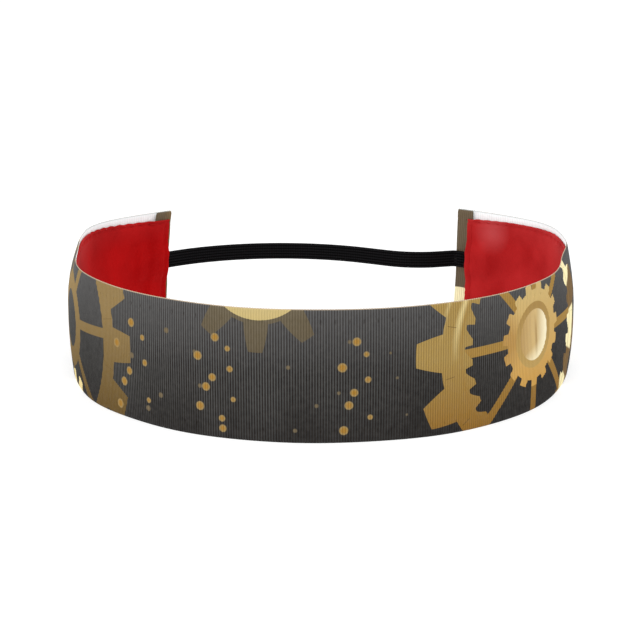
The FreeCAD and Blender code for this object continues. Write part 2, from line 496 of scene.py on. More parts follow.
def big_gear(sheet, colour, along, across, first=179.0):
    """A large toothed ring with 8 spokes, and a small gear on its hub."""
    polar = Polar(sheet, along, across, BIG_GEAR_AT)
    lower = across.step(22.0, 0.0)
    spoke_gold = sheet.mix(lower, SPOKE_GOLD, GOLD_LOW)
    spokes = polar.spokes(8, first + 2.0, 2.9) * polar.inside(33.5)
    colour = sheet.mix(spokes, colour, spoke_gold)
    bore_at = (BIG_GEAR_AT[0], (BIG_GEAR_AT[1] + BORE_RISE) * BORE_SQUEEZE)
    bore = Polar(sheet, along, across * BORE_SQUEEZE, bore_at)
    ring = polar.teeth(15, first, 38.0, 45.7, 0.70, 0.36) * (1.0 - toothed_hole(bore))
    rim = ring_gold(sheet, polar, across, sheet.mix(lower, GOLD, GOLD_LOW))
    rim = sheet.mix(bore.band(31.2, 0.7) * 0.5, rim, spoke_gold)
    scratches = polar.spokes(15, first + 12.0, 0.25) * polar.inside(37.0) * (1.0 - polar.inside(34.0))
    colour = sheet.mix(ring, colour, sheet.mix(scratches, rim, DARK_LINE))
    return small_gear(sheet, colour, polar, first - 3.0)


def toothed_hole(bore):
    """1 inside the ring's hole, whose fine teeth lean a little."""
    leaning = (bore.radius - 28.7) * 0.0022
    wave = ((bore.turn + leaning - BORE_FIRST / 360.0) * (BORE_TEETH * 2.0 * math.pi)).cos() * 1.35
    return bore.inside(wave.highest(-0.85).lowest(1.15) * 1.3 + BORE_RADIUS)


def ring_gold(sheet, polar, across, gold):
    """The ring's colour: painted highlights as two pale shines on its left side, and painted pale glints on
    brown on its right side.
    """
    left = polar.x.step(0.0, -12.0)
    # Painted highlight: two pale bands on the ring's upper left.
    shine = polar.band(33.3, 1.5) * across.step(20.0, 33.0) * left
    shine = shine.highest(polar.band(38.2, 0.9) * across.step(26.0, 36.0) * left * 0.5)
    right = polar.x.step(20.0, 24.0)
    # Painted glints: pale patches across the ring's right side.
    glints = ((polar.turn * 10.0 - 0.25).fraction() - 0.5).abs().step(0.32, 0.29)
    reach = across.step(27.0, 36.0) * 9.0 + 37.4
    gold = sheet.mix(right, gold, FAR_BROWN)
    gold = sheet.mix(shine * 0.8, gold, PALE_GOLD)
    return sheet.mix(right * polar.inside(reach) * glints, gold, FAR_PAINTED_GLINT)


def small_gear(sheet, colour, polar, first):
    """The small gear on the large one's hub, with a collar and a round boss."""
    gold = sheet.mix(polar.y.step(-14.0, 12.0), HUB_LOW, HUB_TOP)
    gold = sheet.mix((0.0 - polar.x - polar.y.abs()).step(0.0, 10.0) * 0.8, gold, HUB_SIDE)
    colour = sheet.mix(polar.teeth(15, first, 13.6, 15.6, 0.60, 0.46), colour, gold)
    collar = sheet.mix(polar.y.step(-9.0, 9.0), COLLAR_LOW, COLLAR_TOP)
    colour = sheet.mix(polar.inside(9.9), colour, collar)
    return sheet.mix(polar.inside(7.7), colour, dome(sheet, polar))


def dome(sheet, polar):
    """The bright round boss on the small gear, painted with a shaded left half, a lit right half, a highlight
    low on its right and one dark crease of shade.
    """
    left = sheet.mix(polar.x.step(-7.7, 0.5), *BOSS_SHADED_HALF)
    right = sheet.mix(polar.x.step(1.0, 6.5), *BOSS_LIT_HALF)
    face = sheet.mix(polar.x.step(0.6, 1.0), left, right)
    # Painted highlight low on the right of the boss.
    low = (polar.x * 0.45 - polar.y).step(3.0, 7.5)
    face = sheet.mix(low * 0.8, face, BOSS_HIGHLIGHT)
    # Painted shade along one dark crease.
    crease = (1.0 - (polar.x - 0.7 + polar.y * 0.12).abs().step(0.0, 0.9)) * polar.y.abs().step(7.0, 2.0)
    return sheet.mix(crease * 0.7, face, BOSS_CREASE_SHADE)


def wheel(sheet, colour, along, across, middle, first=1.0, wide=0.0):
    """A bronze wheel with 16 teeth, 8 spokes and an open hub; wide makes its ring that much wider."""
    polar = Polar(sheet, along, across, middle)
    lower = across.step(31.0, 2.0)
    bronze = sheet.mix(lower, BRONZE, BRONZE_LOW)
    body = polar.teeth(16, first, 40.0 + wide, 48.0 + wide, 0.66, 0.42) * (1.0 - polar.inside(34.0 - wide))
    arms = polar.spokes(8, first + 4.0, 3.1) * polar.inside(35.0) * (1.0 - polar.inside(12.0))
    hub = polar.inside(15.0) * (1.0 - polar.inside(9.0))
    shape = body.highest(arms).highest(hub)
    colour = sheet.mix(shape, colour, bronze)
    scratch = polar.spokes(16, first + 11.0, 0.22) * polar.inside(39.8) * (1.0 - polar.inside(34.5))
    return sheet.mix(scratch * 0.7, colour, DARK_LINE)


def badge(sheet, colour, along, across, middle, first=-91.5):
    """A faint gear of ten teeth with a pale plain disc on it."""
    polar = Polar(sheet, along, across, middle)
    body = polar.teeth(10, first, 17.0, 25.0, 0.66, 0.26)
    colour = sheet.mix(body * 0.85, colour, sheet.mix(polar.radius.step(17.0, 25.0), FAINT, FAINT_LOW))
    pale = sheet.mix(polar.y.step(-16.0, -9.0), DISC_LOW, DISC_TOP)
    return sheet.mix(polar.inside(BADGE_DISC), colour, pale)


def pale_gear(sheet, colour, along, across, middle, first, pale):
    """A plain pale gear that shows only in part."""
    polar = Polar(sheet, along, across, middle)
    body = polar.teeth(12, first, 17.5, 21.5, 0.62, 0.42)
    return sheet.mix(body, colour, sheet.mix(polar.y.step(-12.0, 16.0), GOLD, pale))


# Drops fall from the gears in loose streams that start this high on the ribbon, in mm. From one drop to
# the next, the angle of its sway and the angle that gives its size grow by these steps.
STREAM_TOP = 29.0
SWAY_STEP = 2.4
SIZE_STEP = 1.9


def stream(middle, reach, count, largest):
    """Drops of one stream: how far along and across the ribbon, and their radius, in mm."""
    drops_down = []
    for k in range(count):
        place_along = middle + reach * math.sin(SWAY_STEP * k)
        place_across = STREAM_TOP * (1.0 - k / count)
        radius = largest * (0.5 + 0.5 * abs(math.sin(SIZE_STEP * k + 1.0)))
        drops_down.append((place_along, place_across, radius))
    return drops_down


# Gold drops and faint ones.
DROPS = stream(-60.0, 7.0, 8, 1.4) + stream(-30.0, 5.5, 10, 1.3) + stream(10.0, 4.0, 8, 1.3)
SPECKS = stream(-46.0, 14.0, 6, 0.9) + stream(8.0, 17.0, 8, 0.6)


def arm_stream(sign, count):
    """Drops on one arm, where the gears leave the ribbon dark, in the same way."""
    drops_down = []
    for k in range(count):
        place_along = sign * (163.0 + 7.0 * math.sin(SWAY_STEP * k))
        radius = 0.6 + 0.7 * abs(math.sin(SIZE_STEP * k))
        drops_down.append((place_along, 35.0 - 3.6 * k, radius))
    return drops_down


ARM_DROPS = arm_stream(-1.0, 10) + arm_stream(1.0, 10)


def drops(sheet, colour, places, rim, ink):
    """Round drops of ink, which is thinner at their rims."""
    source = sheet.tree.nodes.new("ShaderNodeAttribute")
    source.attribute_name = "cloth"
    depth = None
    for along, across, radius in places:
        gap = sheet.tree.nodes.new("ShaderNodeVectorMath")
        gap.operation = "DISTANCE"
        sheet.tree.links.new(source.outputs["Vector"], gap.inputs[0])
        gap.inputs[1].default_value = (along, across, 0.0)
        inside = (radius + INK_SPREAD) - Term(sheet, gap.outputs["Value"])
        depth = inside if depth is None else depth.highest(inside)
    return sheet.mix(depth.step(0.0, 0.25), colour, sheet.mix(depth.step(0.35, 0.75), rim, ink))


def stitch_dent_shade(sheet, colour, along, across):
    """Painted shade in the small dents where the edge seams' thread comes through to the printed face."""
    line = (LINING_MARGIN + EDGE_SEAM_INSET) / MM
    pitch = STITCH_PITCH / MM
    off_hole = ((along / pitch + 0.5).fraction() - 0.5).abs() * pitch
    off_line = (across - line).abs().lowest((across - (WIDTH / MM - line)).abs())
    dent = off_hole.step(0.45, 0.15) * off_line.step(0.9, 0.4)
    return sheet.mix(dent * 0.3, colour, STITCH_DENT_SHADE)


# Distance between the warp yarns, which cross the ribs, in mm.
WARP_PITCH = 0.42


def rib_wave(along):
    """1 in the valleys between the ribs and -1 on their crests."""
    return (along * (2.0 * math.pi * MM / RIB_PITCH)).cos()


def black_ground(sheet, along, across, valley):
    """The unprinted black, with painted light and shade: paler at the top and on the ribs' crests, and
    painted shade low down, in the ribs' valleys, in soft upright waves and over the lower right and far lower
    left.
    """
    # Painted light and shade: lit paler towards the top, shaded darker towards the bottom.
    colour = sheet.mix(across.step(10.0, 34.0), BLACK_MID, BLACK_LIT_TOP)
    colour = sheet.mix(across.step(12.0, 0.0), colour, BLACK_SHADED_LOW)
    # Painted shade in soft upright waves over the lower part.
    waves = sheet.noise(80.0, 0.0, (1.0, 1.0, 0.25)).step(0.42, 0.62)
    colour = sheet.mix(waves * across.step(26.0, 6.0) * 0.5, colour, BLACK_SHADE)
    # Painted shade to the right, most in its lower part, and over the far lower left.
    to_right = along.step(-20.0, 40.0) * (across.step(32.0, 8.0) * 0.52 + 0.12)
    to_left = along.step(-76.0, -98.0) * across.step(38.0, 14.0) * 0.45
    colour = sheet.mix(to_right + to_left, colour, BLACK_SHADE)
    # Painted shade in the ribs' valleys, lighter towards the top.
    crest = (1.0 - valley) * (1.0 - valley)
    return sheet.mix(crest, sheet.mix(across.step(20.0, 38.0), BLACK_SHADE, VALLEY_SHADE_TOP), colour)


def gears_and_drops(sheet, colour, along, across):
    """The whole print, its later parts over its earlier ones, with painted shade past the folds at the arms'
    ends.
    """
    colour = badge(sheet, colour, along, across, BADGE_AT)
    colour = wheel(sheet, colour, along, across, WHEEL_AT)
    colour = pale_gear(sheet, colour, along, across, LEFT_PALE_GEAR_AT, 12.0, PALE_GOLD)
    colour = big_gear(sheet, colour, along, across)
    colour = wheel(sheet, colour, along, across, RIGHT_END_WHEEL_AT, 4.0, 4.0)
    colour = wheel(sheet, colour, along, across, LEFT_END_WHEEL_AT, 0.0, 4.0)
    colour = badge(sheet, colour, along, across, LOW_BADGE_AT, 95.0)
    colour = drops(sheet, colour, SPECKS, SPECK_RIM, SPECK_INK)
    colour = drops(sheet, colour, DROPS + ARM_DROPS, DOT_RIM, DOT_GOLD)
    colour = sheet.mix(across.step(37.85, 38.05), colour, SELVEDGE)
    # Painted shade past each fold, on the flap at the arm's end.
    colour = sheet.mix(along.abs().step(196.0, 202.0) * 0.8, colour, FOLD_SHADE)
    return pale_gear(sheet, colour, along, across, FOLD_PALE_GEAR_AT, 0.0, FOLD_PALE)


def printed_material():
    """Black grosgrain printed with gold gears and drops, with painted light and shade on it."""
    sheet = Sheet("printed_grosgrain")
    along, across = sheet.cloth()
    ribs = rib_wave(along)
    valley = ribs * 0.5 + 0.5
    colour = black_ground(sheet, along, across, valley)
    colour = stitch_dent_shade(sheet, colour, along, across)
    colour = gears_and_drops(sheet, colour, along, across)
    # Painted shade in the ribs' valleys over the print, weaker on the badge's plain disc.
    flat_ink = Polar(sheet, along, across, BADGE_AT).inside(BADGE_DISC)
    colour = sheet.mix(valley * (0.30 - flat_ink * 0.2), colour, RIB_SHADE)
    speck = sheet.noise(700.0, 4.0).step(0.35, 0.75)
    colour = sheet.mix(speck * 0.05, colour, LINT)
    warp = (across * (2.0 * math.pi / WARP_PITCH) + ribs * 1.5).sin()
    yarn = sheet.noise(2600.0, 3.0, (1.0, 1.0, 0.35))
    normal = sheet.bump(warp * 0.35 + yarn * 0.65, 0.05 * MM, 0.6)
    rough = sheet.noise(900.0, 2.0) * 0.2 + 0.62
    return sheet.finish(Base_Color=colour, Normal=normal, Roughness=rough, Sheen_Weight=0.02,
                        Sheen_Roughness=0.4, Specular_IOR_Level=0.15)


# ---------------------------------------------------------------- other materials

REVERSE_CREST = srgb(248, 251, 251)
REVERSE_VALLEY_SHADE = srgb(232, 239, 240)
REVERSE_RIM = srgb(188, 196, 194)
RED_DARK = srgb(150, 3, 5)
RED_BRIGHT = srgb(172, 8, 10)
SHEEN_RED = srgb(190, 92, 94)
SHADE_RED = srgb(126, 2, 4)
PILE_TIPS = srgb(186, 36, 36)
PILE_SHEEN = srgb(245, 160, 160)
BRAID_LOW = srgb(14, 14, 15)
BRAID_HIGH = srgb(28, 28, 30)
BRAID_GROOVE_SHADE = srgb(1, 1, 1)
THREAD_DARK = srgb(148, 10, 12)
THREAD_BRIGHT = srgb(170, 24, 26)
RUBBER_BLACK = srgb(26, 26, 26)
RUBBER_DUST = srgb(44, 43, 42)

# Where painted sheen lightens the velvet in a pale patch, and where painted shade darkens it at the foot of
# the elastic's bulge: along and across it, in mm.
SHEEN_PATCH_AT = (189.0, 31.5)
SHADE_PATCH_AT = (187.5, 21.0)
# Length of one chevron along the elastic, in mm.
CHEVRON_LENGTH = 0.85


def reverse_material():
    """The ribbon's unprinted white reverse, with painted shade in the ribs' valleys."""
    sheet = Sheet("white_reverse")
    along, across = sheet.cloth()
    # Painted shade: greyer in the ribs' valleys than on their crests.
    colour = sheet.mix(rib_wave(along) * 0.5 + 0.5, REVERSE_CREST, REVERSE_VALLEY_SHADE)
    rim_line = across.step(37.6, 37.9) * (along + 125.0).abs().step(8.0, 24.0)
    colour = sheet.mix(rim_line * 0.6, colour, REVERSE_RIM)
    normal = sheet.bump(sheet.noise(2400.0, 3.0, (1.0, 1.0, 0.35)), 0.05 * MM, 0.5)
    return sheet.finish(Base_Color=colour, Normal=normal, Roughness=0.75, Sheen_Weight=0.1)


def velvet_material():
    """Red velour with a short pile that catches the light in soft patches, with painted sheen over the right
    arm and along the top, and a painted patch each of sheen and of shade.
    """
    sheet = Sheet("red_velvet")
    along, across = sheet.cloth()
    patches = sheet.noise(75.0, 3.0).step(0.32, 0.68)
    pile = sheet.noise(1500.0, 4.0, rough=0.7)
    colour = sheet.mix(patches, RED_DARK, RED_BRIGHT)
    # Painted sheen: paler over the right arm and along the top.
    sheen_share = along.step(60.0, 160.0) * (patches * 0.6 + 0.4)
    colour = sheet.mix(sheen_share * 0.13 + across.step(28.0, 35.0) * 0.05, colour, SHEEN_RED)
    # A pale patch of painted sheen.
    pale = Polar(sheet, along, across, SHEEN_PATCH_AT).radius.step(8.0, 1.0)
    colour = sheet.mix(pale * 0.42, colour, SHEEN_RED)
    # A dark patch of painted shade at the foot of the bulge over the elastic's tail.
    shade_patch = Polar(sheet, along, across, SHADE_PATCH_AT).radius.step(9.0, 1.0)
    colour = sheet.mix(shade_patch * 0.45, colour, SHADE_RED)
    colour = sheet.mix(pile.step(0.4, 0.75) * 0.2, colour, PILE_TIPS)
    normal = sheet.bump(pile, 0.12 * MM, 0.7)
    return sheet.finish(Base_Color=colour, Normal=normal, Roughness=pile * 0.15 + 0.75, Sheen_Weight=0.12,
                        Sheen_Roughness=0.35, Sheen_Tint=PILE_SHEEN, Specular_IOR_Level=0.05)


def braid_material():
    """Black braid: fine chevrons of yarn along each rib of the elastic, with painted shade in the grooves
    between the ribs.
    """
    sheet = Sheet("black_braid")
    along, across = sheet.cloth()
    slant = (across * (ELASTIC_RIBS * MM / ELASTIC_WIDTH)).fraction() - 0.5
    chevron = (along * (2.0 * math.pi / CHEVRON_LENGTH) + slant.abs() * 7.0).sin()
    yarn = sheet.noise(3000.0, 3.0)
    normal = sheet.bump(chevron * 0.5 + yarn * 0.5, 0.10 * MM, 0.9)
    colour = sheet.mix(chevron.step(-0.6, 0.9), BRAID_LOW, BRAID_HIGH)
    # Painted shade: near black in the grooves between the ribs.
    colour = sheet.mix(slant.abs().step(0.15, 0.42), colour, BRAID_GROOVE_SHADE)
    rough = yarn * 0.2 + 0.6
    return sheet.finish(Base_Color=colour, Normal=normal, Roughness=rough, Specular_IOR_Level=0.03)


def thread_material():
    """Red sewing thread with a fine twist."""
    sheet = Sheet("red_thread")
    twist = sheet.noise(5200.0, 2.0, (1.0, 1.0, 3.0))
    colour = sheet.mix(twist, THREAD_DARK, THREAD_BRIGHT)
    normal = sheet.bump(twist, 0.05 * MM, 0.8)
    return sheet.finish(Base_Color=colour, Normal=normal, Roughness=0.8, Specular_IOR_Level=0.1)


def rubber_material():
    """Dull black rubber."""
    sheet = Sheet("rubber_core")
    dust = sheet.noise(1800.0, 3.0)
    colour = sheet.mix(dust, RUBBER_BLACK, RUBBER_DUST)
    return sheet.finish(Base_Color=colour, Roughness=dust * 0.2 + 0.7)


# ---------------------------------------------------------------- ribbon

# Heights of the ribbon's rows, as distances from each edge; the seams' dimples need the close ones.
RIBBON_ROWS = [0.0, 0.25, 0.9, 2.2, 2.9, 3.2, 3.5, 3.8, 4.1, 5.0, 8.0, 12.0, 16.0]
SELVEDGE_WIDTH = 0.5 * MM
SELVEDGE_DROP = 0.12 * MM
SELVEDGE_LOOP = 0.10 * MM
DIMPLE_DEPTH = 0.22 * MM
DIMPLE_REACH = 0.34 * MM


def ribbon_heights():
    low = np.array(RIBBON_ROWS) * MM
    return np.concatenate([low, WIDTH - low[::-1]])


def ribbon_point(side, q, depth, z):
    """A point q along the ribbon and depth behind its printed face, also past the fold at the arm's end."""
    sign = np.where(q < 0.0, -1.0, 1.0)
    straight = ARM[side] - FOLD_RADIUS + lean(side, z)
    past = np.abs(q) - straight
    bent = np.clip(past / FOLD_ARC, 0.0, 1.0) * math.pi
    back = np.maximum(past - FOLD_ARC, 0.0)
    reach = FOLD_RADIUS - depth
    s = np.minimum(np.abs(q), straight) - back
    inward = np.where(past > 0.0, FOLD_RADIUS - reach * np.cos(bent), depth)
    points = place(sign * s, inward, z)
    inwards = inward_normal(sign * s)
    along = np.stack([inwards[..., 1], -inwards[..., 0], np.zeros_like(s)], axis=-1) * sign[..., None]
    return points + along * (reach * np.sin(bent))[..., None]


def dimples(q, z):
    """How deep the stitches of the two edge seams pull the printed face in."""
    line = LINING_MARGIN + EDGE_SEAM_INSET
    off_line = np.minimum(np.abs(z - line), np.abs(z - (WIDTH - line)))
    off_hole = (np.mod(q / STITCH_PITCH + 0.5, 1.0) - 0.5) * STITCH_PITCH
    return DIMPLE_DEPTH * np.exp(-(off_line ** 2 + off_hole ** 2) / DIMPLE_REACH ** 2)


def ribbon(name, side, first, last, printed, reverse):
    """One stretch of the ribbon, ribbed on both faces, with a thin selvedge."""
    count = int(round((last - first) / RIB_PITCH * RIB_STEPS)) + 1
    q = np.linspace(first, last, count)
    heights = ribbon_heights()
    grid_q, grid_z = np.meshgrid(q, heights, indexing="ij")
    rib = RIB_HEIGHT * np.abs(np.sin(math.pi * grid_q / RIB_PITCH)) ** 1.3
    edge = np.minimum(grid_z, WIDTH - grid_z)
    selvedge = smooth(0.0, SELVEDGE_WIDTH, edge)
    drop = SELVEDGE_DROP * (1.0 - selvedge)
    face = RIB_HEIGHT - rib * selvedge + dimples(grid_q, grid_z) + drop
    rear = RIBBON_THICK - RIB_HEIGHT + rib * selvedge - drop
    front = ribbon_point(side, grid_q, face, grid_z)
    back = ribbon_point(side, grid_q, rear, grid_z)
    loop = SELVEDGE_LOOP * np.sin(math.pi * q / RIB_PITCH) ** 2
    middle = np.full_like(q, RIBBON_THICK / 2)
    high = ribbon_point(side, q, middle, WIDTH + loop)
    low = ribbon_point(side, q, middle, np.zeros_like(q))
    front[:, 0, 2] = SELVEDGE_DROP - loop
    back[:, 0, 2] = SELVEDGE_DROP - loop
    rows = len(heights)
    cloth = ring_places(q, heights)
    piece, parts = slab(name, front, back, low, high, cloth)
    piece.data.materials.append(printed)
    piece.data.materials.append(reverse)
    inside = (parts > rows) & (parts < 2 * rows)
    piece.data.polygons.foreach_set("material_index", inside.astype(np.int32))
    return piece


def ring_places(along, across):
    """Cloth places in mm for a slab's ring of points."""
    ring = np.concatenate([across, across[-1:], across[::-1], across[:1]])
    places = np.zeros((len(along), len(ring), 3))
    places[..., 0] = along[:, None] / MM
    places[..., 1] = ring[None, :] / MM
    return places


# ---------------------------------------------------------------- lining

# How far from the flap's end, the tail's end and the tail's edges the lining comes down to the ribbon,
# and how far from the elastic's middle those edges are for it.
FLAP_RAMP = 2.5 * MM
TAIL_RAMP = 3.5 * MM
TAIL_SIDE_RAMP = 3.8 * MM
TAIL_SIDE = 3.2 * MM
EDGE_ROUND = 0.12 * MM


def lining_lift(side, s, z):
    """How far the flap and the elastic's tail hold the lining off the ribbon near an arm's end."""
    to_end = ARM[side] + lean(side, z) - np.abs(s)
    over_flap = smooth(FLAP_LENGTH[side] + FLAP_RAMP, FLAP_LENGTH[side] - 0.4 * MM, to_end)
    near_tail = smooth(TAIL_LENGTH + TAIL_RAMP, TAIL_LENGTH, to_end)
    beside = smooth(TAIL_SIDE + TAIL_SIDE_RAMP, TAIL_SIDE, np.abs(z - ELASTIC_MID_Z))
    return (RIBBON_THICK + FLAP_GAP) * over_flap + (ELASTIC_THICK + LAYER_GAP) * near_tail * beside


def lining_puff(s, z, end):
    """Thickness of the lining: soft swells, held down by the seams and thin at its edges."""
    swell = 0.10 * np.sin(s / (9.0 * MM) + z / (14.0 * MM)) + 0.08 * np.sin(s / (5.3 * MM) - z / (8.0 * MM))
    edge = np.minimum(z - LINING_MARGIN, WIDTH - LINING_MARGIN - z)
    from_end = abs(end) - np.abs(s)
    pull = 0.75 + 0.25 * np.cos(2.0 * math.pi * s / STITCH_PITCH)
    groove = pull * np.exp(-((edge - EDGE_SEAM_INSET) / (0.55 * MM)) ** 2)
    pull_end = 0.8 + 0.2 * np.cos(2.0 * math.pi * z / END_STITCH_PITCH)
    end_groove = pull_end * np.exp(-((from_end - END_SEAM_INSET) / (0.6 * MM)) ** 2)
    rim = np.clip(np.minimum(edge, from_end) / (0.45 * MM), 0.0, 1.0)
    rounded = 0.35 + 0.65 * np.sqrt(1.0 - (1.0 - rim) ** 2)
    dip = np.maximum(groove, end_groove)
    return LINING_THICK * (0.95 + swell - 0.5 * dip) * rounded


def lining_wander(s):
    """How far the lining's edges stray outwards: a scallop at each stitch, and a slow wander."""
    puckered = np.where(s < 0.0, 0.24 * MM, 0.12 * MM)
    scallop = puckered * np.cos(2.0 * math.pi * s / STITCH_PITCH) * (0.7 + 0.5 * np.sin(s / (7.3 * MM)))
    slow = 0.22 * MM * np.sin(s / (13.0 * MM) + 1.0) + 0.12 * MM * np.sin(s / (4.7 * MM))
    places, strays = zip(*EDGE_STRAY)
    return scallop + slow + MM * np.interp(np.abs(s) / MM, places, strays)


def lining_rows():
    """Heights across the lining, closest at its two edges."""
    turn = np.linspace(0.0, math.pi, 45)
    share = (1.0 - np.cos(turn)) / 2.0
    share = 0.55 * share + 0.45 * turn / math.pi
    return LINING_MARGIN + share * (WIDTH - 2.0 * LINING_MARGIN)


def lining(name, side, first, last, velvet):
    """One stretch of the lining; last is the arm's end on the piece's own side."""
    ends = sorted((first, last))
    s = np.concatenate([np.arange(ends[0], ends[1], 0.5 * MM), [ends[1]]])
    close = last - np.sign(last) * np.array([0.1, 0.2, 0.35]) * MM
    s = np.unique(np.concatenate([s, close]))
    z = lining_rows()
    grid_s, grid_z = np.meshgrid(s, z, indexing="ij")
    middle = (grid_z / WIDTH - 0.5) * 2.0
    real_z = grid_z + lining_wander(grid_s) * middle * np.abs(middle) ** 3
    slant = lean(side, grid_z) * smooth(24.0 * MM, 0.0, np.abs(last - grid_s))
    fray = 0.11 * MM * np.sin(2.0 * math.pi * grid_z / (1.25 * MM))
    fray = fray * smooth(0.6 * MM, 0.0, np.abs(last - grid_s))
    shifted = grid_s + np.sign(last) * (slant + fray)
    near = LINING_NEAR + lining_lift(side, grid_s, grid_z)
    puff = lining_puff(grid_s, grid_z, last)
    front = place(shifted, near + puff, real_z)
    back = place(shifted, near, real_z)
    high = (front[:, -1] + back[:, -1]) / 2 + np.array([0.0, 0.0, EDGE_ROUND])
    low = (front[:, 0] + back[:, 0]) / 2 - np.array([0.0, 0.0, EDGE_ROUND])
    piece, _ = slab(name, back, front, low, high, ring_places(s, z))
    piece.data.materials.append(velvet)
    return piece


# ---------------------------------------------------------------- seams

# Half of a stitch as a share of the pitch, and its points, radii and depth from one end to the other.
STITCH_HALF = 0.43
STITCH_SHARES = np.array([-1.0, -0.8, -0.35, 0.35, 0.8, 1.0])
STITCH_RADII = THREAD_RADIUS * np.array([0.35, 0.85, 1.0, 1.0, 0.85, 0.35])
STITCH_DEPTH = 0.03 * MM * (1.0 - STITCH_SHARES ** 2)


def edge_seam(name, side, first, last, z, thread):
    """Stitches along one edge of the lining."""
    low, high = sorted((first, last))
    counts = np.arange(math.ceil(low / STITCH_PITCH), math.floor(high / STITCH_PITCH))
    middles = (counts + 0.5) * STITCH_PITCH
    s = middles[:, None] + STITCH_SHARES * STITCH_HALF * STITCH_PITCH
    heights = np.full_like(s, z)
    depth = LINING_NEAR + lining_lift(side, s, heights) + lining_puff(s, heights, last)
    middle = z / WIDTH * 2.0 - 1.0
    centres = place(s, depth - STITCH_DEPTH, heights + lining_wander(s) * middle * abs(middle) ** 3)
    up = np.zeros_like(centres)
    up[..., 2] = 1.0
    piece = tubes(name, centres, up, inward_normal(s), STITCH_RADII)
    piece.data.materials.append(thread)
    return piece


def end_seam(name, side, last, thread):
    """Stitches down an arm's end."""
    pitch = END_STITCH_PITCH
    low = LINING_MARGIN + EDGE_SEAM_INSET
    count = int((WIDTH - 2.0 * low) / pitch)
    middles = WIDTH / 2 + (np.arange(count) - (count - 1) / 2) * pitch
    z = middles[:, None] + STITCH_SHARES * STITCH_HALF * pitch
    s = np.full_like(z, last - np.sign(last) * END_SEAM_INSET)
    depth = LINING_NEAR + lining_lift(side, s, z) + lining_puff(s, z, last)
    s = s + np.sign(last) * lean(side, z)
    centres = place(s, depth - STITCH_DEPTH, z)
    inwards = inward_normal(s)
    along = np.stack([inwards[..., 1], -inwards[..., 0], np.zeros_like(s)], axis=-1)
    piece = tubes(name, centres, along, inwards, STITCH_RADII)
    piece.data.materials.append(thread)
    return piece


# ---------------------------------------------------------------- elastic

def unit(heading):
    return np.array([math.cos(heading), math.sin(heading)])


def left_of(heading):
    return np.array([-math.sin(heading), math.cos(heading)])


def turn_points(start, heading, radius, turn, step):
    """Points along an arc that starts at start and turns by turn radians."""
    count = max(int(abs(turn) * radius / step), 2)
    side = math.copysign(radius, turn)
    turned = heading + np.linspace(0.0, turn, count)
    return start + side * (left_of(heading) - np.stack([-np.sin(turned), np.cos(turned)], axis=-1))


def elastic_line(step=ELASTIC_STEP):
    """The elastic's middle line seen from above, from the left tail's inner end to the right one's."""
    leaving, falling, arriving = [math.radians(h) for h in ELASTIC_HEADINGS]
    tails = {}
    for side in ("left", "right"):
        s = SIGN[side] * np.arange(ARM[side] - TAIL_LENGTH, ARM[side], step)
        tails[side] = place(s, TAIL_DEPTH, ELASTIC_MID_Z)[:, :2]
    mouths = [place(SIGN[side] * ARM[side], TAIL_DEPTH, ELASTIC_MID_Z)[:2] for side in ("left", "right")]
    first = mouths[0] + unit(leaving) * ELASTIC_GAP
    final = mouths[1] - unit(arriving) * ELASTIC_GAP
    bulge = turn_points(first, leaving, BULGE_RADIUS, falling - leaving, step)
    dip = turn_points(np.zeros(2), falling, DIP_RADIUS, arriving - falling, step)
    rest = final - bulge[-1] - dip[-1]
    fall, _ = np.linalg.solve(np.stack([unit(falling), unit(arriving)], axis=-1), rest)
    dip = dip + bulge[-1] + unit(falling) * fall
    line = np.concatenate([tails["left"], bulge, dip, final[None], tails["right"][::-1]])
    return rounded(evenly(line, step), step)


def evenly(line, step):
    """The same line with its points step apart."""
    gaps = np.linalg.norm(np.diff(line, axis=0), axis=1)
    along = np.concatenate([[0.0], np.cumsum(gaps)])
    places = np.linspace(0.0, along[-1], int(along[-1] / step) + 1)
    return np.stack([np.interp(places, along, line[:, i]) for i in range(2)], axis=-1)


def rounded(line, step, reach=1.1 * MM, near=12):
    """The line with its corners softened over about reach, from the near points on each side."""
    offsets = np.arange(-near, near + 1) * step
    weights = np.exp(-(offsets / reach) ** 2)
    weights /= weights.sum()
    padded = np.concatenate([np.repeat(line[:1], near, 0), line, np.repeat(line[-1:], near, 0)])
    return np.stack([np.convolve(padded[:, i], weights, "valid") for i in range(2)], axis=-1)


def strap_rows():
    """Places across the elastic, six to each of its ribs."""
    return np.linspace(-ELASTIC_WIDTH / 2, ELASTIC_WIDTH / 2, ELASTIC_RIBS * 6 + 1)


def strap(name, line, normals, first, braid):
    """One stretch of the flat elastic: rounded ribs along it, and a fine ripple from the braid."""
    across = strap_rows()
    along = (first + np.arange(len(line))) * ELASTIC_STEP
    phase = across / (ELASTIC_WIDTH / ELASTIC_RIBS)
    ribs = np.abs(np.sin(math.pi * phase)) ** 0.7
    corner = np.sqrt(np.clip(1.0 - (np.abs(across) / (ELASTIC_WIDTH / 2)) ** 8, 0.04, 1.0))
    ripple = 1.0 + 0.05 * np.sin(2.0 * math.pi * along / (CHEVRON_LENGTH * MM))
    half = (ELASTIC_THICK / 2) * (0.55 + 0.45 * ribs) * (0.35 + 0.65 * corner)
    half = half[None, :] * ripple[:, None]
    flat = np.repeat(line[:, None, :], len(across), axis=1)
    flat[..., 2] += across[None, :]
    out = np.zeros_like(flat)
    out[..., :2] = normals[:, None, :]
    front = flat + out * half[..., None]
    back = flat - out * half[..., None]
    piece, _ = slab(name, back, front, flat[:, 0], flat[:, -1], ring_places(along, across))
    piece.data.materials.append(braid)
    return piece


